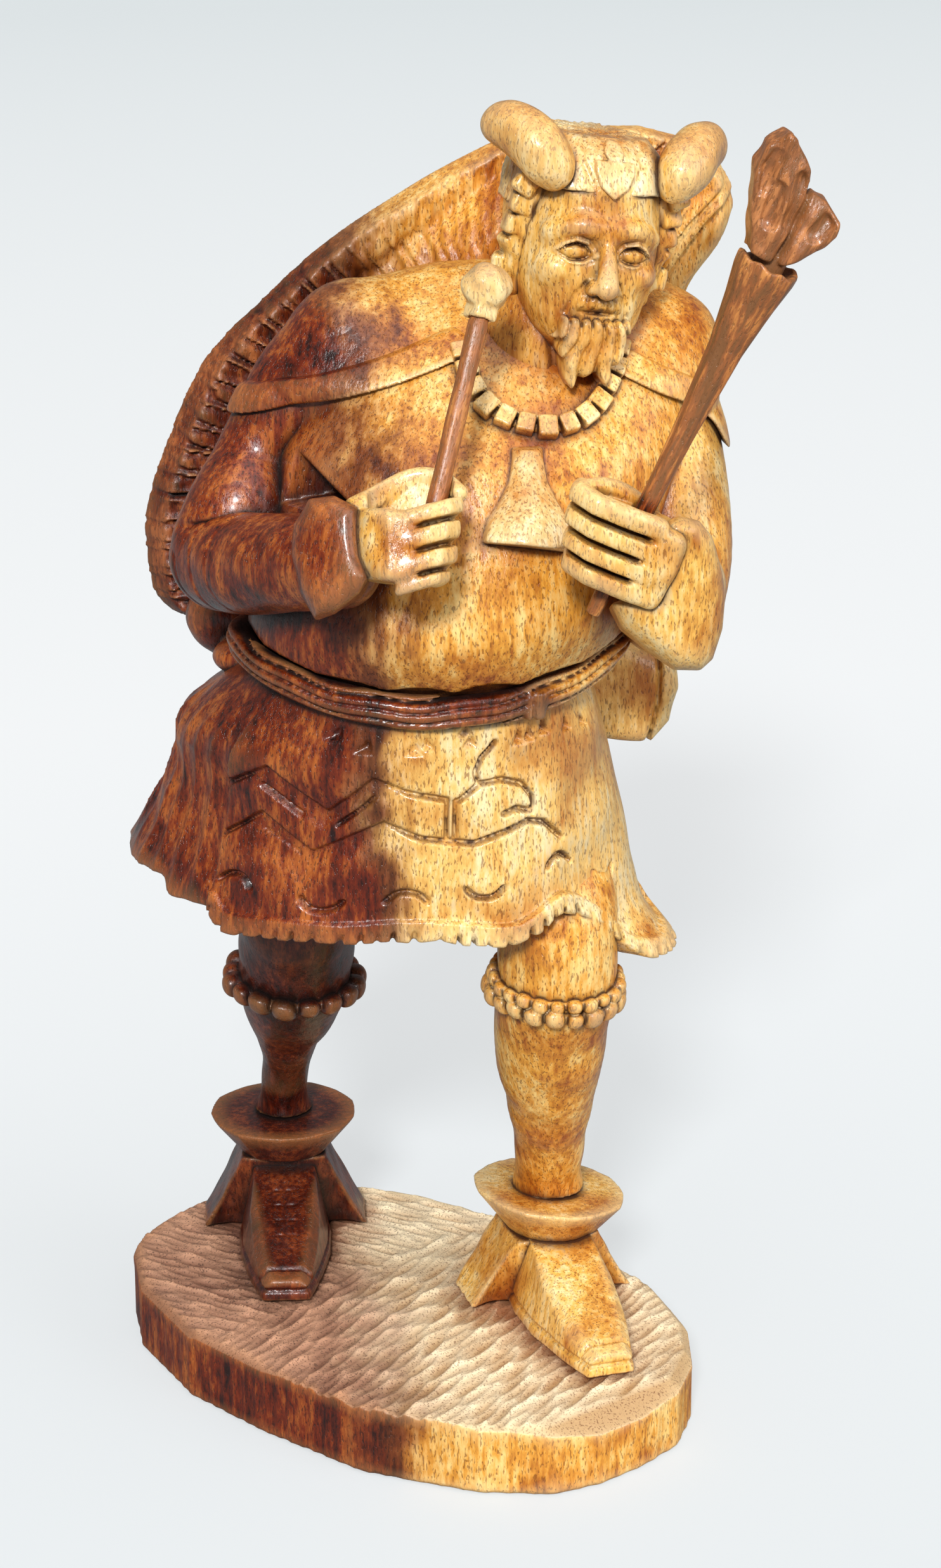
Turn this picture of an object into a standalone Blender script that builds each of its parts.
"""Carved wooden warrior on an oval plinth: horned headdress, pelt cape, mallet and torch.

The figure strides forward with its left leg in front. +Z is up, the chest faces -Y, and the origin
is the middle of the plinth's underside. "Right" and "left" are the figure's own sides, so its right
side lies towards -X. All sizes below are in millimetres.
"""

import math

import bmesh
import bpy
from mathutils import Matrix, Vector
from mathutils.bvhtree import BVHTree

MM = 0.001
FAR = 500.0

# Fits between neighbouring pieces
CLEARANCE = 0.3
GRIP_CLEARANCE = 0.35

# Plinth
PLINTH_LENGTH = 149.0
PLINTH_WIDTH = 95.0
PLINTH_THICKNESS = 18.0
PLINTH_CHAMFER = 3.0
PLINTH_TURN = -51.0
PLINTH_ROUNDNESS = 2.3

# Heights that stack up from the plinth
FOOT_HEIGHT = 18.0
CUFF_HEIGHT = 10.5
LEG_HEIGHT = 131.5
SKIRT_LENGTH = 56.0
TORSO_HEIGHT = 83.0

# Feet: where the ankles stand, and how far each foot turns out
RIGHT_ANKLE = (-24.0, 44.0)
LEFT_ANKLE = (33.0, -5.0)
RIGHT_FOOT_TURN = -7.0
LEFT_FOOT_TURN = 8.0
SHOE_TOE_REACH = 44.0
SHOE_HEEL_REACH = 10.0
SHOE_WIDTH = 23.0
GAITER_TOP_RADIUS = 10.5
GAITER_HALF_WIDTH = 20.0
GAITER_HALF_DEPTH = 14.0
GAITER_SET_BACK = 5.0
BOOT_CUFF_RADIUS = 17.5
BOOT_CUFF_FOOT_RADIUS = 11.0
BOOT_CUFF_LIP = 1.8

# Legs: knee, hip and garters are shares of the leg that shows between boot cuff and hem
RIGHT_KNEE_FORWARD = 32.0
LEFT_KNEE_FORWARD = 27.0
KNEE_SHARE = 0.9
HIP_SHARE = 1.23
RIGHT_GARTER_SHARE = 0.54
LEFT_GARTER_SHARE = 0.73
RIGHT_ANKLE_RADIUS = 5.0
LEFT_ANKLE_RADIUS = 7.7
CALF_RADIUS = 12.3
KNEE_RADIUS = 13.6
GARTER_BEAD_RADIUS = 2.5
GARTER_BEAD_COUNT = 16
GARTER_TILT = 8.0

# Skirt and sash
WAIST_X = 4.0
WAIST_Y = -14.0
WAIST_HALF_WIDTH = 41.0
WAIST_HALF_DEPTH = 34.0
SKIRT_FLARE = 0.74
HEM_HALF_LENGTH = 66.0
HEM_HALF_WIDTH = 46.0
HEM_TURN = -29.0
HEM_SHIFT_X = -8.0
HEM_SHIFT_Y = 16.5
HEM_LIFT = 12.0
HEM_DROP = 9.0
HEM_WALL = 6.0
HEM_RECESS = 12.0
SASH_RADIUS = 4.2

# Torso, neck and what lies on the chest
TORSO_HALF_WIDTH = 45.0
TORSO_HALF_DEPTH = 41.0
TORSO_LEAN_X = 26.0
TORSO_LEAN_Y = 11.5
NECK_SEAT = 0.86
NECK_OFFSET = (2.0, -10.0, 0.0)
NECK_RADIUS = 12.0
NECK_LENGTH = 24.0
NECKLACE_HALF_WIDTH = 16.5
NECKLACE_DROP = 20.0
NECKLACE_BEAD = 3.0
NECKLACE_BEAD_COUNT = 18
NECKLACE_SET_BACK = 4.0
PENDANT_LENGTH = 18.5
PENDANT_WIDTH = 19.5
PENDANT_THICKNESS = 5.0
PENDANT_SHIFT = 6.5
PENDANT_HANG = 3.0
BAND_RADIUS = 3.0

# Arms: the shoulders' share of the torso's height, and the way each arm bone points
RIGHT_SHOULDER_SEAT = 0.84
LEFT_SHOULDER_SEAT = 0.76
RIGHT_SHOULDER_OFFSET = (-5.0, 0.0, 1.0)
LEFT_SHOULDER_OFFSET = (-10.0, 0.0, 0.0)
RIGHT_UPPER_ARM_AIM = (-28.0, -10.0, -47.0)
LEFT_UPPER_ARM_AIM = (5.0, -24.0, -52.0)
RIGHT_FOREARM_AIM = (16.0, -43.0, 16.5)
LEFT_FOREARM_AIM = (-20.0, -34.0, 27.0)
RIGHT_GRIP_OFFSET = (19.0, -10.0, 6.0)
LEFT_GRIP_OFFSET = (-0.4, -9.5, 9.0)
ARM_BOW = 2.0
SHOULDER_RADIUS = 15.0
ELBOW_RADIUS = 14.0
WRIST_RADIUS = 10.0
UPPER_ARM_LENGTH = 57.0
RIGHT_FOREARM_LENGTH = 50.0
LEFT_FOREARM_LENGTH = 40.0
SLEEVE_ROLL_RADIUS = 13.3
SLEEVE_ROLL_LENGTH = 13.0
HAND_LENGTH = 24.0
FINGER_RADIUS = 2.9
FINGER_PITCH = 5.3
FIST_REACH = 6.2
RIGHT_STICK_SHIFT = 0.0
LEFT_STICK_SHIFT = 4.0

# Head
HEAD_HALF_WIDTH = 15.7
HEAD_HALF_DEPTH = 19.5
HEAD_HEIGHT = 42.0
HEAD_MIDDLE = 0.45
HEAD_OFFSET = (4.5, -17.0, 7.5)
HEAD_YAW = 6.0
HEAD_ROLL = 8.0
HEADDRESS_WALL = 1.8
HEADDRESS_RISE = 3.0
HORN_SPAN = 49.0
HORN_RADIUS = 6.2
HORN_RISE = 10.5
HORN_SWEEP = 5.5
BROW_PLATE_WIDTH = 10.0
BROW_PLATE_HEIGHT = 13.0
BROW_PLATE_THICKNESS = 3.0
BEARD_LENGTH = 12.0
HAIR_RADIUS = 3.6

# Cape and the bundle under it
CAPE_HALF_WIDTH = 66.0
CAPE_HEM_RISE = 0.4
CAPE_RIM = 7.0
CAPE_BULGE = 22.0
CAPE_SET_BACK = 40.0
CAPE_LEAN = 4.0
CAPE_HOLLOW = 4.0
CAPE_SEAT = 9.0
CAPE_SHIFT = 9.5
CAPE_CROWN_SHIFT = 7.0
BUNDLE_RADIUS = 13.5
BUNDLE_HALF_LENGTH = 52.0
BUNDLE_SET_BACK = 35.0
BUNDLE_BOW = 8.0
BUNDLE_SAG = 20.0
BUNDLE_RISE = 2.0

# Mallet
MALLET_SHAFT_RADIUS = 1.9
MALLET_SHAFT_ABOVE = 48.0
MALLET_SHAFT_BELOW = 10.0
MALLET_HEAD_RADIUS = 5.0
MALLET_TENON = 5.0
MALLET_TILT = (0.285, 0.327, 0.901)

# Torch
TORCH_FOOT_RADIUS = 1.5
TORCH_GRIP_RADIUS = 2.1
TORCH_RIM_RADIUS = 6.6
TORCH_ABOVE = 61.0
TORCH_BELOW = 20.0
TORCH_SOCKET_DEPTH = 6.0
TORCH_SOCKET_RADIUS = 3.8
FLAME_HEIGHT = 27.0
FLAME_HALF_WIDTH = 9.5
FLAME_HALF_DEPTH = 5.5
TORCH_TILT = (0.405, -0.12, 0.906)

# Levels worked out from the stack
PLINTH_TOP = PLINTH_THICKNESS
CUFF_LOW = PLINTH_TOP + FOOT_HEIGHT
CUFF_TOP = CUFF_LOW + CUFF_HEIGHT
WAIST = CUFF_TOP + LEG_HEIGHT
HEM = WAIST - SKIRT_LENGTH
LEG_SHOWN = LEG_HEIGHT - SKIRT_LENGTH

# Share of the torso's height, then shares of its lean in X and Y, half width and half depth
TORSO_PROFILE = (
    (0.00, 0.00, 0.00, 0.88, 0.83),
    (0.09, 0.03, -0.13, 0.91, 0.93),
    (0.22, 0.12, -0.22, 0.93, 1.00),
    (0.40, 0.28, -0.04, 0.95, 0.95),
    (0.60, 0.50, 0.30, 1.00, 0.85),
    (0.78, 0.73, 0.65, 1.00, 0.68),
    (0.91, 0.91, 0.91, 0.84, 0.51),
    (1.00, 1.00, 1.00, 0.49, 0.32),
)
# Share of the head's height up from the chin, then shares of its forward set, half width and half depth
HEAD_PROFILE = (
    (0.00, 0.46, 0.40, 0.28),
    (0.12, 0.30, 0.70, 0.62),
    (0.31, 0.10, 0.92, 0.90),
    (0.50, 0.00, 1.00, 1.00),
    (0.69, -0.05, 0.99, 1.00),
    (0.88, -0.10, 0.83, 0.87),
    (1.00, -0.10, 0.45, 0.46),
)
# Share of the cape's height up from its hem, then shares of its half width, right and left, and bulge
CAPE_PROFILE = (
    (0.00, 0.92, 0.67, 0.30),
    (0.06, 1.00, 0.73, 0.62),
    (0.22, 1.02, 0.79, 0.90),
    (0.40, 0.99, 0.73, 1.00),
    (0.55, 0.94, 0.66, 1.00),
    (0.66, 0.82, 0.66, 0.92),
    (0.77, 0.68, 0.68, 0.78),
    (0.88, 0.47, 0.58, 0.55),
    (0.96, 0.27, 0.38, 0.30),
    (1.00, 0.13, 0.19, 0.12),
)

HEARTWOOD = "#6F4125"
AMBER_WOOD = "#A06B33"
SAPWOOD = "#C8943F"
PALE_SAPWOOD = "#D8AE62"
TORCH_WOOD = "#6A3B25"


# Collections and materials


def clear_scene():
    for obj in list(bpy.data.objects):
        bpy.data.objects.remove(obj)


def collection(name):
    made = bpy.data.collections.new(name)
    bpy.context.scene.collection.children.link(made)
    return made


def linear(hex_colour):
    def channel(part):
        value = int(part, 16) / 255
        return value / 12.92 if value <= 0.04045 else ((value + 0.055) / 1.055) ** 2.4

    return tuple(channel(hex_colour[i : i + 2]) for i in (1, 3, 5))


def wood(name, hex_colour, roughness=0.45):
    material = bpy.data.materials.new(name)
    material.use_nodes = True
    shader = material.node_tree.nodes["Principled BSDF"]
    shader.inputs["Base Color"].default_value = (*linear(hex_colour), 1.0)
    shader.inputs["Roughness"].default_value = roughness
    shader.inputs["Metallic"].default_value = 0.0
    material.diffuse_color = (*linear(hex_colour), 1.0)
    return material


clear_scene()
FIGURE = collection("folk_warrior_figure")
CUTTERS = collection("cutters")


# Making and joining solids


def solid(name, bm, parent=None):
    """A named object from a finished bmesh in millimetres, closed and facing out."""
    bmesh.ops.remove_doubles(bm, verts=bm.verts, dist=0.001)
    bmesh.ops.triangulate(bm, faces=bm.faces)
    bmesh.ops.recalc_face_normals(bm, faces=bm.faces)
    bmesh.ops.scale(bm, vec=(MM, MM, MM), verts=bm.verts)
    mesh = bpy.data.meshes.new(name)
    bm.to_mesh(mesh)
    bm.free()
    obj = bpy.data.objects.new(name, mesh)
    FIGURE.objects.link(obj)
    obj.parent = parent
    return obj


def finish(obj, hex_colour):
    """Gives the piece its wood, and smooths what is round."""
    obj.data.materials.clear()
    obj.data.materials.append(wood(obj.name + "_wood", hex_colour))
    obj.data.shade_smooth()
    obj.data.set_sharp_from_angle(angle=math.radians(40))
    return obj


def frame(name, matrix):
    """An empty that carries pieces modelled in its own axes."""
    empty = bpy.data.objects.new(name, None)
    FIGURE.objects.link(empty)
    empty.matrix_world = matrix
    bpy.context.view_layer.update()
    return empty


def placed(origin, rotation=None):
    matrix = Matrix.Translation(Vector(origin) * MM)
    return matrix @ rotation.to_4x4() if rotation else matrix


def world_bmesh(obj):
    """The object's evaluated mesh as a bmesh in world space."""
    bpy.context.view_layer.update()
    graph = bpy.context.evaluated_depsgraph_get()
    mesh = bpy.data.meshes.new_from_object(obj.evaluated_get(graph))
    bm = bmesh.new()
    bm.from_mesh(mesh)
    bpy.data.meshes.remove(mesh)
    bm.transform(obj.evaluated_get(graph).matrix_world)
    return bm


def settle(obj):
    """Applies the object's modifiers and keeps only its largest closed body."""
    bm = world_bmesh(obj)
    bmesh.ops.remove_doubles(bm, verts=bm.verts, dist=0.002 * MM)
    bmesh.ops.dissolve_degenerate(bm, edges=bm.edges, dist=0.002 * MM)
    islands = []
    unseen = set(bm.verts)
    while unseen:
        stack = [unseen.pop()]
        island = set(stack)
        while stack:
            for edge in stack.pop().link_edges:
                for vert in edge.verts:
                    if vert in unseen:
                        unseen.discard(vert)
                        island.add(vert)
                        stack.append(vert)
        islands.append(island)
    keep = max(islands, key=len)
    bmesh.ops.delete(bm, geom=[v for v in bm.verts if v not in keep], context="VERTS")
    bmesh.ops.triangulate(bm, faces=bm.faces)
    bmesh.ops.recalc_face_normals(bm, faces=bm.faces)
    bm.transform(obj.matrix_world.inverted())
    obj.modifiers.clear()
    bm.to_mesh(obj.data)
    bm.free()
    return obj


def grown_copy(obj, gap):
    """A cutter: the object pushed out evenly by the gap."""
    bm = world_bmesh(obj)
    bm.normal_update()
    moves = [vert.normal * gap * MM * min(vert.calc_shell_factor(), 2.0) for vert in bm.verts]
    for vert, move in zip(bm.verts, moves):
        vert.co += move
    mesh = bpy.data.meshes.new(obj.name + "_cutter")
    bm.to_mesh(mesh)
    bm.free()
    cutter = bpy.data.objects.new(obj.name + "_cutter", mesh)
    CUTTERS.objects.link(cutter)
    cutter.hide_render = True
    cutter.display_type = "WIRE"
    return cutter


def combine(obj, others, operation):
    for other in others:
        modifier = obj.modifiers.new(operation.lower(), "BOOLEAN")
        modifier.operation = operation
        modifier.solver = "EXACT"
        modifier.object = other
    settle(obj)
    for other in others:
        bpy.data.objects.remove(other)
    return obj


def clear_of(obj, neighbours, gap=CLEARANCE):
    """Cuts the piece back from its neighbours, so that it seats on them with an even gap."""
    return combine(obj, [grown_copy(neighbour, gap) for neighbour in neighbours], "DIFFERENCE")


def fuse(obj, others):
    return combine(obj, others, "UNION")


# Shapes


def oval(centre, half_x, half_y, turn=0.0, sides=16, power=2.0, lift=None):
    """Points round an oval in the XY plane. lift gives a height to add at each angle in degrees."""
    points = []
    for i in range(sides):
        angle = 2 * math.pi * i / sides
        c, s = math.cos(angle), math.sin(angle)
        x = half_x * math.copysign(abs(c) ** (2 / power), c)
        y = half_y * math.copysign(abs(s) ** (2 / power), s)
        point = Matrix.Rotation(math.radians(turn), 3, "Z") @ Vector((x, y, 0))
        rise = lift(math.degrees(angle)) if lift else 0.0
        points.append(Vector(centre) + point + Vector((0, 0, rise)))
    return points


def loft(name, rings, parent=None):
    """A closed solid through rings of points, each with as many points as the next."""
    bm = bmesh.new()
    rows = [[bm.verts.new(point) for point in ring] for ring in rings]
    for low, high in zip(rows, rows[1:]):
        for i in range(len(low)):
            j = (i + 1) % len(low)
            bm.faces.new((low[i], low[j], high[j], high[i]))
    bm.faces.new(rows[0])
    bm.faces.new(rows[-1])
    return solid(name, bm, parent)


def limb(name, stations, parent=None, closed=False, smooth=3, sides=2):
    """A round limb: a curve through (x, y, z, radius) stations, made a mesh with its caps welded."""
    curve = bpy.data.curves.new(name, "CURVE")
    curve.dimensions = "3D"
    curve.bevel_depth = MM
    curve.bevel_resolution = sides
    curve.use_fill_caps = True
    curve.resolution_u = smooth
    spline = curve.splines.new("BEZIER")
    spline.bezier_points.add(len(stations) - 1)
    spline.use_cyclic_u = closed
    spline.radius_interpolation = "CARDINAL"
    for point, (x, y, z, radius) in zip(spline.bezier_points, stations):
        point.co = Vector((x, y, z)) * MM
        point.handle_left_type = point.handle_right_type = "AUTO"
        point.radius = radius
    return mesh_from_curve(name, curve, parent)


def bead_string(name, points, bead_radius, waist_radius, closed):
    """Beads on a cord: a curve whose radius swells at every second point."""
    curve = bpy.data.curves.new(name, "CURVE")
    curve.dimensions = "3D"
    curve.bevel_depth = MM
    curve.bevel_resolution = 1
    curve.use_fill_caps = True
    spline = curve.splines.new("POLY")
    spline.points.add(len(points) - 1)
    spline.use_cyclic_u = closed
    for i, (point, place) in enumerate(zip(spline.points, points)):
        point.co = (*(Vector(place) * MM), 1.0)
        point.radius = waist_radius if i % 2 else bead_radius
    return mesh_from_curve(name, curve, None)


def mesh_from_curve(name, curve, parent):
    guide = bpy.data.objects.new(name + "_guide", curve)
    FIGURE.objects.link(guide)
    bm = world_bmesh(guide)
    bpy.data.objects.remove(guide)
    bpy.data.curves.remove(curve)
    bmesh.ops.scale(bm, vec=(1 / MM, 1 / MM, 1 / MM), verts=bm.verts)
    return solid(name, bm, parent)


def turned(name, profile, parent=None, steps=20):
    """A turned solid: a profile of (radius, height), from the top down its outer side, with a Screw."""
    bm = bmesh.new()
    verts = [bm.verts.new((radius * MM, 0, height * MM)) for radius, height in profile]
    for upper, lower in zip(verts, verts[1:]):
        bm.edges.new((upper, lower))
    mesh = bpy.data.meshes.new(name)
    bm.to_mesh(mesh)
    bm.free()
    obj = bpy.data.objects.new(name, mesh)
    FIGURE.objects.link(obj)
    obj.parent = parent
    screw = obj.modifiers.new("turn", "SCREW")
    screw.steps = screw.render_steps = steps
    screw.use_merge_vertices = True
    screw.merge_threshold = 0.00001
    screw.use_normal_calculate = True
    bpy.context.view_layer.update()
    return settle(obj)


def blend(profile, share):
    """The profile's row at this share, between the two rows that bracket it."""
    share = min(max(share, profile[0][0]), profile[-1][0])
    for low, high in zip(profile, profile[1:]):
        if share <= high[0]:
            part = (share - low[0]) / (high[0] - low[0])
            return [a + (b - a) * part for a, b in zip(low, high)]
    return list(profile[-1])


def surface_towards(objects, target, direction):
    """The outermost point of these pieces on the line that runs in to the target along the direction."""
    start = (Vector(target) - Vector(direction) * FAR) * MM
    hits = []
    for obj in objects:
        bm = world_bmesh(obj)
        hit = BVHTree.FromBMesh(bm).ray_cast(start, Vector(direction))[0]
        bm.free()
        if hit:
            hits.append(hit / MM)
    return min(hits, key=lambda hit: (hit * MM - start).length)


def front_of(objects, x, z, sink=0.0):
    """The point on the front of these pieces at (x, z), pushed in by sink."""
    return surface_towards(objects, (x, 0, z), (0, 1, 0)) + Vector((0, sink, 0))


def between(a, b, share):
    return Vector(a).lerp(Vector(b), share)


# Plinth and feet


def make_plinth():
    def outline(height, inset):
        return oval(
            (0, 0, height),
            PLINTH_LENGTH / 2 - inset,
            PLINTH_WIDTH / 2 - inset,
            PLINTH_TURN,
            sides=32,
            power=PLINTH_ROUNDNESS,
        )

    rings = [
        outline(0, 1.0),
        outline(PLINTH_THICKNESS - PLINTH_CHAMFER, 0),
        outline(PLINTH_THICKNESS, PLINTH_CHAMFER),
    ]
    return finish(loft("plinth", rings), AMBER_WOOD)


def foot_frame(side, ankle, turn):
    origin = (*ankle, PLINTH_TOP)
    return frame(side + "_foot_frame", placed(origin, Matrix.Rotation(math.radians(turn), 3, "Z")))


def make_shoe(side, foot, colour):
    """A square-toed shoe, lofted from heel to toe along the foot's own -Y."""
    tall = FOOT_HEIGHT - CLEARANCE
    half = SHOE_WIDTH / 2
    stations = (
        (-SHOE_HEEL_REACH, 0.70, 0.66),
        (-SHOE_HEEL_REACH / 2, 0.95, 0.92),
        (SHOE_TOE_REACH * 0.17, 1.00, 0.97),
        (SHOE_TOE_REACH * 0.45, 1.00, 0.76),
        (SHOE_TOE_REACH * 0.74, 0.78, 0.47),
        (SHOE_TOE_REACH * 0.95, 0.54, 0.31),
        (SHOE_TOE_REACH, 0.46, 0.25),
    )
    outline = ((-1, 0), (-1, 0.35), (-0.72, 0.8), (-0.25, 1), (0.25, 1), (0.72, 0.8), (1, 0.35), (1, 0))
    rings = []
    for reach, wide, high in stations:
        rise = tall * high - CLEARANCE
        rings.append([Vector((half * wide * x, -reach, CLEARANCE + rise * z)) for x, z in outline])
    return finish(loft("shoe_" + side, rings, foot), colour)


def make_gaiter(side, foot, shoe, colour):
    """The flared legging end that stands round the heel, open where the shoe comes out."""
    rings = [
        oval((0, GAITER_SET_BACK, CLEARANCE), GAITER_HALF_WIDTH, GAITER_HALF_DEPTH, power=2.6),
        oval((0, GAITER_SET_BACK / 2, FOOT_HEIGHT / 2), GAITER_HALF_WIDTH * 0.72, GAITER_HALF_DEPTH * 0.8),
        oval((0, 0, FOOT_HEIGHT - CLEARANCE), GAITER_TOP_RADIUS, GAITER_TOP_RADIUS),
    ]
    gaiter = loft("gaiter_" + side, rings, foot)
    return finish(clear_of(gaiter, [shoe]), colour)


def make_boot_cuff(side, foot, colour):
    profile = (
        (0, CUFF_HEIGHT),
        (BOOT_CUFF_RADIUS - BOOT_CUFF_LIP, CUFF_HEIGHT),
        (BOOT_CUFF_RADIUS, CUFF_HEIGHT - BOOT_CUFF_LIP),
        (BOOT_CUFF_RADIUS - BOOT_CUFF_LIP / 2, CUFF_HEIGHT - 2 * BOOT_CUFF_LIP),
        (BOOT_CUFF_FOOT_RADIUS, BOOT_CUFF_LIP),
        (BOOT_CUFF_FOOT_RADIUS, 0),
        (0, 0),
    )
    cuff = turned("boot_cuff_" + side, profile, foot)
    cuff.location.z = FOOT_HEIGHT * MM
    return finish(cuff, colour)


# Legs


def leg_path(ankle, knee_forward):
    """Ankle, knee and hip of a leg that bends forward at the knee."""
    low = Vector((*ankle, CUFF_TOP + CLEARANCE))
    knee = low + Vector((0, -knee_forward, LEG_SHOWN * KNEE_SHARE))
    hip = knee + Vector((0, knee_forward * 0.5, LEG_SHOWN * (HIP_SHARE - KNEE_SHARE)))
    return low, knee, hip


def make_leg(side, ankle, knee_forward, ankle_radius, colour):
    low, knee, hip = leg_path(ankle, knee_forward)
    shin_radius = ankle_radius + (CALF_RADIUS - ankle_radius) * 0.25
    stations = [
        (*low, ankle_radius),
        (*between(low, knee, 0.25), shin_radius),
        (*between(low, knee, 0.62), CALF_RADIUS),
        (*knee, KNEE_RADIUS),
        (*hip, KNEE_RADIUS),
    ]
    leg = limb("leg_" + side, stations, smooth=2, sides=4)
    # The curve's end is square to the shin, so its foot is cut level where it stands on the cuff.
    bm = world_bmesh(leg)
    bmesh.ops.bisect_plane(
        bm,
        geom=bm.verts[:] + bm.edges[:] + bm.faces[:],
        plane_co=low * MM + Vector((0, 0, ankle_radius * MM / 2)),
        plane_no=(0, 0, -1),
        clear_outer=True,
    )
    cut = [edge for edge in bm.edges if edge.is_boundary]
    foot = bmesh.ops.extrude_edge_only(bm, edges=cut)["geom"]
    ring = [item for item in foot if isinstance(item, bmesh.types.BMVert)]
    for vert in ring:
        vert.co.z = low.z * MM
    bmesh.ops.holes_fill(bm, edges=bm.edges[:])
    bmesh.ops.recalc_face_normals(bm, faces=bm.faces)
    bm.to_mesh(leg.data)
    bm.free()
    return finish(leg, colour)


def make_garter(side, leg, ankle, knee_forward, share, colour):
    """A string of beads tied round the leg just below the knee."""
    low, knee, _ = leg_path(ankle, knee_forward)
    middle = between(low, knee, share / KNEE_SHARE)
    turn = Matrix.Rotation(math.radians(-GARTER_TILT), 3, "X")
    points = []
    for i in range(2 * GARTER_BEAD_COUNT):
        angle = math.pi * i / GARTER_BEAD_COUNT
        outward = turn @ Vector((math.cos(angle), math.sin(angle), 0))
        points.append(surface_towards([leg], middle, -outward) + outward * GARTER_BEAD_RADIUS * 0.35)
    garter = bead_string("garter_" + side, points, GARTER_BEAD_RADIUS, GARTER_BEAD_RADIUS * 0.7, True)
    return finish(clear_of(garter, [leg]), colour)


# Skirt, sash and torso


def hem_lift(angle):
    """How the hem rises over the left knee and drops at the front corner, by angle from its long axis."""
    angle = (angle + 180) % 360 - 180
    knee = HEM_LIFT * math.exp(-(((angle + 38) / 16) ** 2))
    corner = HEM_DROP * math.exp(-(((angle - 2) / 18) ** 2))
    return knee - corner


def skirt_ring(share, inset=0.0, lift=1.0, rise=0.0):
    """A ring of the skirt, at a share of the way from waist to hem."""
    flare = share**SKIRT_FLARE
    centre = (
        WAIST_X + HEM_SHIFT_X * flare,
        WAIST_Y + HEM_SHIFT_Y * flare,
        WAIST - CLEARANCE - (SKIRT_LENGTH - CLEARANCE) * share + rise,
    )
    half_x = WAIST_HALF_WIDTH + (HEM_HALF_LENGTH - WAIST_HALF_WIDTH) * flare - inset
    half_y = WAIST_HALF_DEPTH + (HEM_HALF_WIDTH - WAIST_HALF_DEPTH) * flare - inset
    return oval(centre, half_x, half_y, HEM_TURN, sides=24, lift=lambda a: hem_lift(a) * lift)


def make_skirt(legs):
    rings = [
        skirt_ring(0.0, lift=0.0),
        skirt_ring(0.25, lift=0.05),
        skirt_ring(0.5, lift=0.25),
        skirt_ring(0.78, lift=0.65),
        skirt_ring(1.0),
        skirt_ring(1.0, inset=HEM_WALL),
        skirt_ring(1.0, inset=HEM_WALL * 2.5, lift=0.5, rise=HEM_RECESS),
    ]
    return finish(clear_of(loft("skirt", rings), legs), AMBER_WOOD)


def torso_row(share):
    """Centre, half width and half depth of the torso at a share of its height."""
    _, lean_x, lean_y, wide, deep = blend(TORSO_PROFILE, share)
    centre = Vector(
        (
            WAIST_X + TORSO_LEAN_X * lean_x,
            WAIST_Y + TORSO_LEAN_Y * lean_y,
            WAIST + TORSO_HEIGHT * share,
        )
    )
    return centre, TORSO_HALF_WIDTH * wide, TORSO_HALF_DEPTH * deep


def make_torso():
    rings = []
    for row in TORSO_PROFILE:
        centre, half_x, half_y = torso_row(row[0])
        rings.append(oval(centre, half_x, half_y, sides=20, power=2.1))
    return finish(loft("torso", rings), AMBER_WOOD)


def make_sash(torso, skirt):
    """The cloth sash knotted round the waist, seated in the crease between torso and skirt."""
    _, half_x, half_y = torso_row(0.0)
    path = oval((WAIST_X, WAIST_Y, WAIST), half_x + SASH_RADIUS * 0.3, half_y + SASH_RADIUS * 0.3, sides=16)
    sash = limb("sash", [(*point, SASH_RADIUS) for point in path], closed=True, smooth=2)
    return finish(clear_of(sash, [torso, skirt]), AMBER_WOOD)


# Arms and hands


def shoulder(side, share):
    """The middle of a shoulder: side is -1 for the right and +1 for the left."""
    centre, half_x, _ = torso_row(share)
    return centre + Vector((side * (half_x - SHOULDER_RADIUS * 0.55), 0, 0))


def reach_from(start, direction, length):
    return Vector(start) + Vector(direction).normalized() * length


def make_upper_arm(side, start, elbow, torso, colour):
    """The sleeved upper arm, from inside the torso's shoulder to just past the elbow."""
    outward = math.copysign(ARM_BOW, start.x - torso_row(RIGHT_SHOULDER_SEAT)[0].x)
    middle = between(start, elbow, 0.5) + Vector((outward, ARM_BOW, 0))
    tip = elbow + (elbow - start).normalized() * ELBOW_RADIUS * 0.5
    inner = Vector((-math.copysign(SHOULDER_RADIUS, outward), 0, 0))
    stations = [
        (*(start + inner + Vector((0, 0, SHOULDER_RADIUS * 0.2))), SHOULDER_RADIUS * 0.6),
        (*start, SHOULDER_RADIUS),
        (*middle, SHOULDER_RADIUS),
        (*elbow, ELBOW_RADIUS),
        (*tip, ELBOW_RADIUS * 0.55),
    ]
    arm = limb("upper_arm_" + side, stations, smooth=2, sides=4)
    return finish(clear_of(arm, [torso]), colour)


def make_forearm(name, elbow, wrist, neighbours, colour):
    tip = elbow + (elbow - wrist).normalized() * ELBOW_RADIUS * 0.6
    stations = [
        (*tip, ELBOW_RADIUS * 0.5),
        (*elbow, ELBOW_RADIUS * 0.97),
        (*between(elbow, wrist, 0.5), (ELBOW_RADIUS + WRIST_RADIUS) / 2 + 1.0),
        (*wrist, WRIST_RADIUS),
    ]
    return finish(clear_of(limb(name, stations, smooth=2, sides=4), neighbours), colour)


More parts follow.
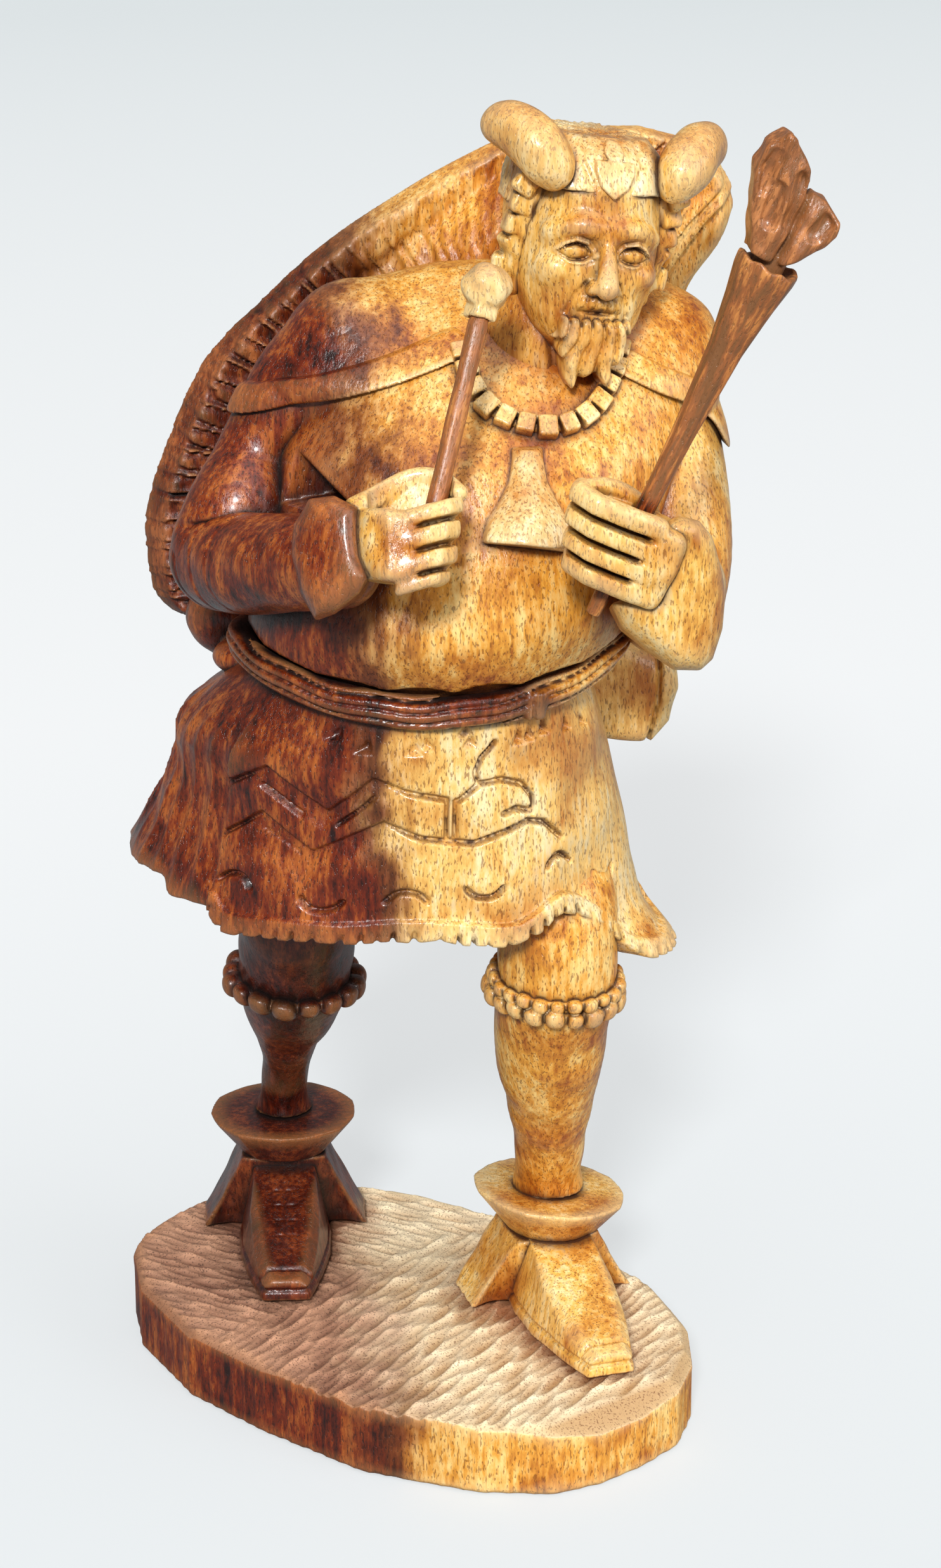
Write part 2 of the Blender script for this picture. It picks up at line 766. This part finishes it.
def make_sleeve_roll(elbow, wrist, neighbours):
    """The right sleeve's turned-back end, a fat ring on the wrist."""
    back = wrist + (elbow - wrist).normalized() * SLEEVE_ROLL_LENGTH
    stations = [
        (*between(wrist, back, 1.0), SLEEVE_ROLL_RADIUS * 0.93),
        (*between(wrist, back, 0.55), SLEEVE_ROLL_RADIUS),
        (*between(wrist, back, 0.0), SLEEVE_ROLL_RADIUS * 0.9),
    ]
    roll = limb("sleeve_roll_right", stations, smooth=2, sides=4)
    return finish(clear_of(roll, neighbours), HEARTWOOD)


def grip_frame(name, centre, tilt):
    """A frame on the axis of a held stick: its Z runs up the stick, its -Y faces the front."""
    up = Vector(tilt).normalized()
    right = Vector((0, -1, 0)).cross(up).normalized() * -1
    back = up.cross(right)
    rotation = Matrix((right, back, up)).transposed()
    return frame(name, placed(centre, rotation))


def make_hand(name, grip, wrist, side, shift, neighbours, bore_radius, colour):
    """A fist round a stick: the hand's back, four curled fingers and the thumb.

    side is +1 where the fingers run towards the stick frame's +X, and -1 where they run towards -X.
    shift is how far the fist's middle lies from the stick, towards the fingertips.
    """
    middle_x = side * shift
    start = (grip.matrix_world.inverted() @ (Vector(wrist) * MM)) / MM
    end = Vector((middle_x - side * FIST_REACH * 0.9, -FIST_REACH * 0.4, 0))
    along = (end - start).normalized()
    across = along.cross(Vector((0, 0, 1))).normalized()
    upright = across.cross(along)
    rings = []
    for share, tall, thick in ((-0.3, 0.75, 0.8), (0.3, 0.85, 0.75), (0.75, 1.0, 0.72), (1.0, 0.95, 0.6)):
        middle = start + (end - start) * share
        points = oval((0, 0, 0), FINGER_PITCH * 2 * tall, FINGER_PITCH * 1.8 * thick, sides=12, power=2.5)
        rings.append([middle + upright * point.x + across * point.y for point in points])
    hand = loft(name, rings, grip)
    others = []
    for i in range(4):
        height = FINGER_PITCH * (1.5 - i)
        path = (
            (middle_x - side * FIST_REACH * 1.7, -FIST_REACH * 0.3, height),
            (middle_x - side * FIST_REACH * 0.5, -FIST_REACH * 0.95, height),
            (middle_x + side * FIST_REACH * 0.75, -FIST_REACH * 0.85, height),
            (middle_x + side * FIST_REACH * 1.1, FIST_REACH * 0.2, height),
        )
        stations = [(*point, FINGER_RADIUS) for point in path]
        others.append(limb(f"{name}_finger_{i}", stations, grip, smooth=2, sides=1))
    top = FINGER_PITCH * 2.3
    thumb = (
        (middle_x - side * FIST_REACH * 1.8, FIST_REACH * 0.5, top * 0.6, FINGER_RADIUS * 1.1),
        (middle_x - side * FIST_REACH * 0.6, FIST_REACH * 1.0, top * 0.95, FINGER_RADIUS),
        (middle_x + side * FIST_REACH * 0.7, FIST_REACH * 0.6, top, FINGER_RADIUS * 0.95),
    )
    others.append(limb(name + "_thumb", thumb, grip, smooth=2, sides=1))
    fuse(hand, others)
    reach = HAND_LENGTH * 2
    profile = ((0, reach), (bore_radius, reach), (bore_radius, -reach), (0, -reach))
    bore = turned(name + "_bore", profile, grip, 16)
    combine(hand, [bore], "DIFFERENCE")
    return finish(clear_of(hand, neighbours), colour)


# Head


def head_row(share):
    _, set_forward, wide, deep = blend(HEAD_PROFILE, share)
    centre = Vector((0, -HEAD_HALF_DEPTH * set_forward, HEAD_HEIGHT * (share - HEAD_MIDDLE)))
    return centre, HEAD_HALF_WIDTH * wide, HEAD_HALF_DEPTH * deep


def make_neck(base, head_middle, torso):
    top = reach_from(base, head_middle - base, NECK_LENGTH)
    stations = [
        (*base, NECK_RADIUS * 1.5),
        (*between(base, top, 0.45), NECK_RADIUS * 1.2),
        (*between(base, top, 0.8), NECK_RADIUS),
        (*top, NECK_RADIUS),
    ]
    return finish(clear_of(limb("neck", stations, smooth=2, sides=4), [torso]), SAPWOOD)


def make_head(head_frame, neck, torso):
    """The head with a plain wedge of a nose."""
    rings = []
    for row in HEAD_PROFILE:
        centre, half_x, half_y = head_row(row[0])
        rings.append(oval(centre, half_x, half_y, sides=16, power=2.2))
    head = loft("head", rings, head_frame)
    bridge, _, deep = head_row(0.56)
    tip, _, tip_deep = head_row(0.36)
    nose = limb(
        "nose",
        [
            (0, bridge.y - deep, bridge.z, 1.4),
            (0, tip.y - tip_deep - 2.2, tip.z + 1.5, 2.4),
            (0, tip.y - tip_deep + 1.0, tip.z - 0.5, 2.2),
        ],
        head_frame,
        smooth=2,
        sides=1,
    )
    fuse(head, [nose])
    return finish(clear_of(head, [neck, torso]), SAPWOOD)


def make_beard(head_frame, head, neck, torso):
    """A short forked beard under the chin."""
    chin, _, deep = head_row(0.1)
    front = chin.y - deep * 0.55
    forks = []
    for side in (-1, 1):
        stations = [
            (side * 2.6, front + 2.0, chin.z + 3.0, 4.6),
            (side * 3.2, front - 1.0, chin.z - BEARD_LENGTH * 0.5, 3.9),
            (side * 3.6, front - 1.5, chin.z - BEARD_LENGTH, 1.6),
        ]
        forks.append(limb("beard" if side < 0 else "beard_fork", stations, head_frame, smooth=2))
    fuse(forks[0], forks[1:])
    return finish(clear_of(forks[0], [head, neck, torso]), SAPWOOD)


def make_headdress(head_frame, head):
    """The cap of the headdress, hollowed to sit on the skull."""
    rings = []
    for share in (0.66, 0.76, 0.9, 1.0):
        centre, half_x, half_y = head_row(share)
        grow = HEADDRESS_WALL * (2.4 if share == 1.0 else 1.0)
        centre.z += HEADDRESS_RISE * (share - 0.66) / 0.34
        rings.append(oval(centre, half_x + grow, half_y + grow, sides=16, power=2.2))
    return finish(clear_of(loft("headdress", rings, head_frame), [head]), PALE_SAPWOOD)


def make_horn(side, head_frame, neighbours):
    """A stout horn that leaves the brow sideways and curls up and back."""
    sign = -1 if side == "right" else 1
    tip = HORN_SPAN / 2
    level = HEAD_HEIGHT * 0.34
    path = (
        (0.16, -0.73, 0.00, 0.95),
        (0.45, -0.91, 0.00, 1.00),
        (0.72, -0.36, 0.43, 0.84),
        (0.92, 0.55, 0.86, 0.66),
        (1.00, 1.00, 1.00, 0.40),
    )
    stations = []
    for out, back, up, wide in path:
        point = (sign * tip * out, HORN_SWEEP * back, level + HORN_RISE * up)
        stations.append((*point, HORN_RADIUS * wide))
    horn = limb("horn_" + side, stations, head_frame, smooth=2, sides=3)
    return finish(clear_of(horn, neighbours), PALE_SAPWOOD)


def make_brow_plate(head_frame, neighbours):
    """The shield-shaped plate at the front of the headdress."""
    centre, _, deep = head_row(0.8)
    half = BROW_PLATE_WIDTH / 2
    tall = BROW_PLATE_HEIGHT
    right_half = ((0, 0.42), (0.8, 0.5), (1, 0.15), (0.6, -0.25))
    outline = right_half + ((0, -0.5),) + tuple((-x, z) for x, z in right_half[:0:-1])
    front = centre.y - deep - HEADDRESS_WALL - BROW_PLATE_THICKNESS * 0.55
    rings = []
    for depth, scale in ((0, 0.82), (BROW_PLATE_THICKNESS * 0.4, 1.0), (BROW_PLATE_THICKNESS * 2.5, 1.0)):
        points = [(half * x * scale, front + depth, centre.z + tall * z * scale) for x, z in outline]
        rings.append([Vector(point) for point in points])
    return finish(clear_of(loft("brow_plate", rings, head_frame), neighbours), PALE_SAPWOOD)


def make_hair(side, head_frame, neighbours):
    """A lock of curls that covers the ear."""
    sign = -1 if side == "right" else 1
    edge = sign * HEAD_HALF_WIDTH
    stations = [
        (edge * 0.98, 0.0, HEAD_HEIGHT * 0.22, HAIR_RADIUS * 0.8),
        (edge * 1.02, 1.0, HEAD_HEIGHT * 0.08, HAIR_RADIUS),
        (edge * 1.00, 2.0, -HEAD_HEIGHT * 0.08, HAIR_RADIUS),
        (edge * 0.92, 2.5, -HEAD_HEIGHT * 0.2, HAIR_RADIUS * 0.7),
    ]
    hair = limb("hair_" + side, stations, head_frame, smooth=2)
    return finish(clear_of(hair, neighbours), SAPWOOD)


# What lies on the chest


def make_necklace(base, torso, neck, head, beard):
    """A collar of beads that lies on the chest and runs up behind the neck."""
    count = 2 * NECKLACE_BEAD_COUNT
    points = []
    for i in range(count):
        angle = 2 * math.pi * i / count
        x = base.x + NECKLACE_HALF_WIDTH * math.cos(angle)
        fall = (1 - math.sin(angle)) / 2
        z = base.z + NECKLACE_DROP * (0.2 - fall)
        if fall > 0.25:
            point = front_of([torso, neck], x, z, sink=NECKLACE_BEAD * 0.2)
        else:
            point = Vector((x, base.y + NECKLACE_SET_BACK, z))
        points.append(point)
    necklace = bead_string("necklace", points, NECKLACE_BEAD, NECKLACE_BEAD * 0.75, True)
    return finish(clear_of(necklace, [torso, neck, head, beard]), PALE_SAPWOOD)


def make_pendant(base, torso, necklace):
    """A bell-shaped pendant that hangs flat on the chest."""
    top = base.z - NECKLACE_DROP * 0.8 - NECKLACE_BEAD * 0.6
    middle = base.x - PENDANT_SHIFT
    rings = []
    for share, wide in ((0.0, 0.26), (0.35, 0.38), (0.62, 0.72), (0.85, 0.95), (1.0, 1.0)):
        height = top - PENDANT_LENGTH * share
        seat = front_of([torso], middle - PENDANT_HANG * share, height)
        half = PENDANT_WIDTH / 2 * wide
        thick = PENDANT_THICKNESS * (0.7 + 0.3 * wide)
        rings.append(oval(seat, half, thick, sides=12, power=2.4))
    return finish(clear_of(loft("pendant", rings), [torso, necklace]), PALE_SAPWOOD)


def make_band(side, path, body, neighbours, colour):
    """The raised border of the mantle, laid over shoulder and arm."""
    stations = [(*front_of(body, x, z, sink=BAND_RADIUS * 0.35), BAND_RADIUS) for x, z in path]
    band = limb("mantle_band_" + side, stations, smooth=2)
    return finish(clear_of(band, neighbours), colour)


def band_path(base, arm_top, side):
    """From beside the necklace, out over the shoulder and down on to the arm, as (x, z) from the front."""
    start = Vector((base.x + side * (NECKLACE_HALF_WIDTH + BAND_RADIUS), base.z))
    end = Vector((arm_top.x + side * SHOULDER_RADIUS * 1.1, arm_top.z - SHOULDER_RADIUS * 0.9))
    shares = (0, 0.25, 0.5, 0.75, 1)
    return [start.lerp(end, share) + Vector((0, BAND_RADIUS * share * (1 - share))) for share in shares]


# Cape and bundle


def make_cape(crown, neighbours):
    """The pelt: a domed shell with a thick rim, wide over the back and narrow where it meets the crown.

    Each section runs from the right rim, in across the hollow front, out to the left rim and back
    round the domed outside.
    """
    low = torso_row(0.0)[0]
    hem = WAIST + CAPE_HEM_RISE
    rings = []
    for share, right, left, bulge in CAPE_PROFILE:
        right, left = CAPE_HALF_WIDTH * right, CAPE_HALF_WIDTH * left
        lean = max(share - 0.2, 0.0) / 0.8
        middle = low.x + CAPE_SHIFT + (crown.x - low.x - CAPE_SHIFT) * lean**1.3
        height = hem + (crown.z - hem) * share
        rim = low.y + CAPE_SET_BACK - CAPE_LEAN * share
        dome = CAPE_BULGE * bulge
        half_front = ((1.0, 0.0), (0.86, CAPE_HOLLOW), (0.62, CAPE_HOLLOW / 2), (0.25, -CAPE_SEAT))
        half_back = ((1.01, 0.0), (0.86, 0.3), (0.6, 0.65), (0.22, 1.0))
        front = [(-right * x, y) for x, y in half_front] + [(left * x, y) for x, y in half_front[::-1]]
        back = [(left * x, y) for x, y in half_back] + [(-right * x, y) for x, y in half_back[::-1]]
        ring = [Vector((middle + x, rim + y * min(bulge * 1.4, 1.0), height)) for x, y in front]
        ring += [Vector((middle + x, rim + CAPE_RIM + dome * y, height)) for x, y in back]
        rings.append(ring)
    return finish(clear_of(loft("cape", rings), neighbours), HEARTWOOD)


def make_bundle(neighbours):
    """The rolled bundle slung behind the waist, whose ends show on both sides."""
    low = torso_row(0.0)[0] + Vector((0, BUNDLE_SET_BACK, 0))
    path = (
        (-0.95, -0.2, 0.5),
        (-0.82, 0.0, 0.95),
        (-0.3, 1.0, 1.0),
        (0.44, 1.0, 1.0),
        (0.95, 0.0, 0.97),
        (1.08, -0.2, 0.55),
    )
    stations = []
    for along, bow, wide in path:
        sag = BUNDLE_SAG * ((along + 0.95) / 2) ** 1.4
        x, y = low.x + BUNDLE_HALF_LENGTH * along, low.y + BUNDLE_BOW * bow
        stations.append((x, y, WAIST + BUNDLE_RISE - sag, BUNDLE_RADIUS * wide))
    return finish(clear_of(limb("bundle", stations, smooth=2, sides=4), neighbours), HEARTWOOD)


# Mallet and torch, each on its own axis through the fist


def make_mallet(grip):
    """A ball-headed mallet: the shaft's tenon stands in the head's socket."""
    socket = MALLET_SHAFT_RADIUS + CLEARANCE
    shaft = turned(
        "mallet_shaft",
        (
            (0, MALLET_SHAFT_ABOVE),
            (MALLET_SHAFT_RADIUS * 0.8, MALLET_SHAFT_ABOVE),
            (MALLET_SHAFT_RADIUS, MALLET_SHAFT_ABOVE - MALLET_TENON),
            (MALLET_SHAFT_RADIUS, -MALLET_SHAFT_BELOW),
            (0, -MALLET_SHAFT_BELOW),
        ),
        grip,
        12,
    )
    foot = MALLET_SHAFT_ABOVE - MALLET_TENON + CLEARANCE
    middle = foot + MALLET_HEAD_RADIUS * 1.35
    profile = [(0, middle + MALLET_HEAD_RADIUS)]
    for i in range(1, 8):
        across, along = math.sin(math.pi * i / 9), math.cos(math.pi * i / 9)
        profile.append((MALLET_HEAD_RADIUS * across, middle + MALLET_HEAD_RADIUS * along))
    profile += [
        (socket + 1.6, foot + 0.8),
        (socket + 1.2, foot),
        (socket, foot),
        (socket, MALLET_SHAFT_ABOVE + CLEARANCE),
        (0, MALLET_SHAFT_ABOVE + CLEARANCE),
    ]
    head = turned("mallet_head", profile, grip, 16)
    return finish(shaft, AMBER_WOOD), finish(head, SAPWOOD)


def make_torch(grip):
    """A trumpet-shaped torch with a carved flame pegged into its mouth."""
    floor = TORCH_ABOVE - TORCH_SOCKET_DEPTH
    stem = turned(
        "torch_stem",
        (
            (0, floor),
            (TORCH_SOCKET_RADIUS, floor),
            (TORCH_SOCKET_RADIUS, TORCH_ABOVE),
            (TORCH_RIM_RADIUS, TORCH_ABOVE),
            (TORCH_RIM_RADIUS * 0.96, TORCH_ABOVE - 3.0),
            (TORCH_RIM_RADIUS * 0.53, TORCH_ABOVE * 0.68),
            (TORCH_RIM_RADIUS * 0.36, TORCH_ABOVE * 0.36),
            (TORCH_GRIP_RADIUS, HAND_LENGTH / 2),
            (TORCH_GRIP_RADIUS * 0.94, -HAND_LENGTH / 2),
            (TORCH_FOOT_RADIUS, -TORCH_BELOW),
            (0, -TORCH_BELOW),
        ),
        grip,
        16,
    )
    peg = TORCH_SOCKET_RADIUS - CLEARANCE
    seat = TORCH_ABOVE + CLEARANCE
    rows = (
        (floor + CLEARANCE, peg * 0.9, peg * 0.9, 0.0),
        (seat, peg, peg, 0.0),
        (seat + FLAME_HEIGHT * 0.1, FLAME_HALF_WIDTH * 0.62, FLAME_HALF_DEPTH * 0.8, -0.05),
        (seat + FLAME_HEIGHT * 0.32, FLAME_HALF_WIDTH * 0.98, FLAME_HALF_DEPTH, 0.06),
        (seat + FLAME_HEIGHT * 0.55, FLAME_HALF_WIDTH * 0.82, FLAME_HALF_DEPTH * 0.95, -0.26),
        (seat + FLAME_HEIGHT * 0.8, FLAME_HALF_WIDTH * 0.5, FLAME_HALF_DEPTH * 0.7, -0.6),
        (seat + FLAME_HEIGHT, FLAME_HALF_WIDTH * 0.16, FLAME_HALF_DEPTH * 0.25, -0.8),
    )
    rings = []
    for height, half_x, half_y, shift in rows:
        rings.append(oval((FLAME_HALF_WIDTH * shift, 0, height), half_x, half_y, sides=12))
    flame = loft("torch_flame", rings, grip)
    return finish(stem, TORCH_WOOD), finish(flame, TORCH_WOOD)


# Assembly, from the plinth up: each piece is cut clear of those that carry it


def make_figure():
    make_plinth()
    shoes, legs = {}, {}
    right = (RIGHT_ANKLE, RIGHT_FOOT_TURN, RIGHT_KNEE_FORWARD, RIGHT_ANKLE_RADIUS, RIGHT_GARTER_SHARE)
    left = (LEFT_ANKLE, LEFT_FOOT_TURN, LEFT_KNEE_FORWARD, LEFT_ANKLE_RADIUS, LEFT_GARTER_SHARE)
    for side, sizes, colour in (("right", right, HEARTWOOD), ("left", left, SAPWOOD)):
        ankle, turn, knee_forward, ankle_radius, garter_share = sizes
        foot = foot_frame(side, ankle, turn)
        shoes[side] = make_shoe(side, foot, colour)
        make_gaiter(side, foot, shoes[side], colour)
        make_boot_cuff(side, foot, colour)
        legs[side] = make_leg(side, ankle, knee_forward, ankle_radius, colour)
        make_garter(side, legs[side], ankle, knee_forward, garter_share, colour)

    skirt = make_skirt(list(legs.values()))
    torso = make_torso()
    sash = make_sash(torso, skirt)

    base = torso_row(NECK_SEAT)[0] + Vector(NECK_OFFSET)
    head_middle = torso_row(1.0)[0] + Vector(HEAD_OFFSET)
    neck = make_neck(base, head_middle, torso)
    yaw = Matrix.Rotation(math.radians(HEAD_YAW), 3, "Z")
    roll = Matrix.Rotation(math.radians(HEAD_ROLL), 3, "Y")
    head_frame = frame("head_frame", placed(head_middle, yaw @ roll))
    head = make_head(head_frame, neck, torso)
    beard = make_beard(head_frame, head, neck, torso)
    headdress = make_headdress(head_frame, head)
    horns = [make_horn(side, head_frame, [head, headdress]) for side in ("right", "left")]
    make_brow_plate(head_frame, [head, headdress, *horns])
    under_hair = [head, headdress, neck, torso, *horns]
    hair = [make_hair(side, head_frame, under_hair) for side in ("right", "left")]

    right_shoulder = shoulder(-1, RIGHT_SHOULDER_SEAT) + Vector(RIGHT_SHOULDER_OFFSET)
    right_elbow = reach_from(right_shoulder, RIGHT_UPPER_ARM_AIM, UPPER_ARM_LENGTH)
    right_wrist = reach_from(right_elbow, RIGHT_FOREARM_AIM, RIGHT_FOREARM_LENGTH)
    left_shoulder = shoulder(1, LEFT_SHOULDER_SEAT) + Vector(LEFT_SHOULDER_OFFSET)
    left_elbow = reach_from(left_shoulder, LEFT_UPPER_ARM_AIM, UPPER_ARM_LENGTH)
    left_wrist = reach_from(left_elbow, LEFT_FOREARM_AIM, LEFT_FOREARM_LENGTH)

    arm_right = make_upper_arm("right", right_shoulder, right_elbow, torso, HEARTWOOD)
    arm_left = make_upper_arm("left", left_shoulder, left_elbow, torso, SAPWOOD)
    forearm_right = make_forearm("forearm_right", right_elbow, right_wrist, [arm_right, torso], HEARTWOOD)
    forearm_left = make_forearm("forearm_left", left_elbow, left_wrist, [arm_left, torso], SAPWOOD)
    roll_right = make_sleeve_roll(right_elbow, right_wrist, [forearm_right, torso])

    mallet_grip = grip_frame("mallet_axis", right_wrist + Vector(RIGHT_GRIP_OFFSET), MALLET_TILT)
    torch_grip = grip_frame("torch_axis", left_wrist + Vector(LEFT_GRIP_OFFSET), TORCH_TILT)
    make_hand(
        "hand_right",
        mallet_grip,
        right_wrist,
        1,
        RIGHT_STICK_SHIFT,
        [forearm_right, roll_right, torso],
        MALLET_SHAFT_RADIUS + GRIP_CLEARANCE,
        SAPWOOD,
    )
    make_hand(
        "hand_left",
        torch_grip,
        left_wrist,
        -1,
        LEFT_STICK_SHIFT,
        [forearm_left, torso],
        TORCH_GRIP_RADIUS + GRIP_CLEARANCE,
        SAPWOOD,
    )

    necklace = make_necklace(base, torso, neck, head, beard)
    make_pendant(base, torso, necklace)
    right_band = band_path(base, right_shoulder, -1)
    left_band = band_path(base, left_shoulder, 1)
    bands = [
        make_band("right", right_band, [torso, arm_right], [torso, arm_right, neck, necklace], AMBER_WOOD),
        make_band("left", left_band, [torso, arm_left], [torso, arm_left, neck, necklace], SAPWOOD),
    ]

    crown = head_middle + Vector((CAPE_CROWN_SHIFT, 0, HEAD_HEIGHT * HEAD_MIDDLE))
    arms = [arm_right, arm_left, forearm_right, forearm_left]
    cape = make_cape(crown, [torso, sash, neck, head, headdress, *horns, *hair, *arms, *bands, necklace])
    make_bundle([torso, skirt, sash, cape, *arms])
    make_mallet(mallet_grip)
    make_torch(torch_grip)


make_figure()
